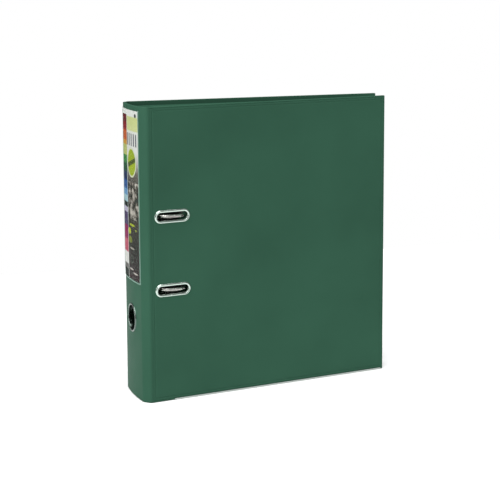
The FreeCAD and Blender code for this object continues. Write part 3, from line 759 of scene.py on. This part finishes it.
def edge_rail(side, flat):
    """A bent channel over a cover's lower edge, with a soft bend at each lower corner."""
    outside = []
    for depth, begin in ((THICK + RAIL_SHEET - RAIL_BEND, 0), (RAIL_BEND - RAIL_SHEET, 270)):
        for step in range(5):
            angle = math.radians(begin - 90 * step / 4)
            outside.append((depth + RAIL_BEND * math.cos(angle), RAIL_BEND + RAIL_BEND * math.sin(angle)))
    section = [(THICK + RAIL_SHEET, RAIL_LEG)] + outside + [(-RAIL_SHEET, RAIL_LEG), (0.0, RAIL_LEG)]
    section += [(0.0, RAIL_SHEET), (THICK, RAIL_SHEET), (THICK, RAIL_LEG)]
    places = ((RAIL_START, RAIL_NIP), (RAIL_START + RAIL_END, 0.0),
              (RAIL_STOP - RAIL_END, 0.0), (RAIL_STOP, RAIL_NIP))
    rings = []
    for along, nip in places:
        rings.append([flat.point(along, depth, min(up, RAIL_LEG - nip)) for depth, up in section])
    obj = piece_from(f"{side}_bottom_rail", loft(rings), RAIL)
    finish_piece(obj, f"{side}_cover", "bright_steel", f"{side}_edge_rail")


# ---- carried-over CAD nodes --------------------------------------------------------------------------

NODE_MATERIALS = {
    "base_plate": SHEET_STEEL, "paper_posts": WIRE, "mechanism_rivets": NICKEL, "lever_pin": NICKEL,
    "arch_wire": WIRE, "lever_arm": SHEET_STEEL, "roller_pin": NICKEL, "lever_roller": NYLON,
    "lever_grip": BLACK, "compressor_bar": BLACK, "compressor_bushes": NYLON, "label_pocket": FILM,
    "label_card": CARD, "front_cover_board": BOARD, "back_cover_board": BOARD, "spine_board": BOARD,
    "front_crease_board": BOARD, "back_crease_board": BOARD, "finger_ring": RING,
    "finger_ring_collar": RING, "oblong_eyelets": CHROME, "eyelet_clinch_rings": CHROME,
    "front_edge_rail": RAIL, "back_edge_rail": RAIL,
}


def paint_nodes():
    for name, node in frame["nodes"].items():
        material = NODE_MATERIALS.get(name, LINING if name.endswith("lining") else FOIL)
        if not node.material_slots:
            node.data.materials.append(material)
        for slot in node.material_slots:
            slot.material = material


# ---- floor, light and camera -------------------------------------------------------------------------

FLOOR = ((-1.2, -1.3), (1.4, 0.7))
FLOOR_TONES = (0.93, 0.95)
SURROUND_SEEN, SURROUND_LIGHT = 1.0, 0.22       # the surroundings: as the backdrop, and as light
SKY_POWER, SKY_ANGLE, SKY_DIRECTION = 3.6, math.radians(55), (0.12, 0.24, -0.96)
PANEL_LIGHTS = (        # name, place, target, width, height, watts
    ("left", (-1.9, -0.5, 0.9), (-0.1, 0.0, 0.2), 0.9, 1.3, 21),
    ("front", (-0.5, -2.2, 1.7), (0.0, 0.0, 0.15), 1.4, 0.5, 7),
)
CAMERA_PLACE = (-0.55638, -1.54099, 0.45756)
CAMERA_YAW, CAMERA_PITCH, CAMERA_ROLL = 0.3379, 0.151, -0.0048
SENSOR = 36
FOCAL_PIXELS, FRAME_PIXELS = 1488.0, 500


def area_light(name, place, target, width, height, power):
    data = bpy.data.lights.new(name, "AREA")
    data.shape = "RECTANGLE"
    data.size, data.size_y = width, height
    data.energy = power
    light = add_to_scene(name, data)
    light.location = place
    light.rotation_euler = (Vector(target) - Vector(place)).to_track_quat("-Z", "Y").to_euler()


def lay_floor():
    (left, near), (right, far) = FLOOR
    mesh = bpy.data.meshes.new("floor")
    mesh.from_pydata([(left, near, 0), (right, near, 0), (right, far, 0), (left, far, 0)], [], [(0, 1, 2, 3)])
    floor = add_to_scene("floor", mesh)
    shader = Shader("floor_white", Roughness=0.9, Specular_IOR_Level=0.0)
    tone = shader.noise(2, 2)
    shader.colour(shader.ramp(tone, [(place, (grey,) * 3) for place, grey in zip(UNEVEN, FLOOR_TONES)]))
    mesh.materials.append(shader.material)


def surround():
    """White surroundings that light the object less than they show."""
    world = bpy.data.worlds.new("studio")
    SCENE.world = world
    world.use_nodes = True
    tree = world.node_tree
    background = tree.nodes["Background"]
    background.inputs[0].default_value = (1.0, 1.0, 1.0, 1.0)
    seen = tree.nodes.new("ShaderNodeLightPath")
    level = tree.nodes.new("ShaderNodeMapRange")
    level.inputs[3].default_value, level.inputs[4].default_value = SURROUND_LIGHT, SURROUND_SEEN
    tree.links.new(seen.outputs["Is Camera Ray"], level.inputs[0])
    tree.links.new(level.outputs[0], background.inputs[1])


def studio():
    lay_floor()
    surround()
    sky = bpy.data.lights.new("sky_panel", "SUN")
    sky.energy = SKY_POWER
    sky.angle = SKY_ANGLE
    panel = add_to_scene("sky_panel", sky)
    panel.rotation_euler = Vector(SKY_DIRECTION).to_track_quat("-Z", "Y").to_euler()
    for light in PANEL_LIGHTS:
        area_light(*light)
    SCENE.view_settings.view_transform = "Standard"
    SCENE.view_settings.look = "None"


def camera():
    """The view from the front left and slightly above."""
    yaw, pitch, roll = CAMERA_YAW, CAMERA_PITCH, CAMERA_ROLL
    forward = Vector((math.sin(yaw) * math.cos(pitch), math.cos(yaw) * math.cos(pitch), -math.sin(pitch)))
    right = Vector((math.cos(yaw), -math.sin(yaw), 0.0))
    up = right.cross(forward)
    tilted_right = right * math.cos(roll) + up * math.sin(roll)
    tilted_up = up * math.cos(roll) - right * math.sin(roll)
    data = bpy.data.cameras.new("camera")
    data.sensor_width = SENSOR
    data.lens = FOCAL_PIXELS / FRAME_PIXELS * SENSOR
    data.shift_y = -0.1
    data.clip_start = 0.05
    data.clip_end = 50
    view = add_to_scene("camera", data)
    axes = Matrix((tilted_right, tilted_up, -forward)).transposed().to_4x4()
    axes.translation = Vector(CAMERA_PLACE)
    view.matrix_world = axes
    SCENE.camera = view


camera()
studio()
paint_nodes()
covers()
rings_and_eyelets()
edge_rail("front", FRONT_COVER)
edge_rail("back", BACK_COVER)
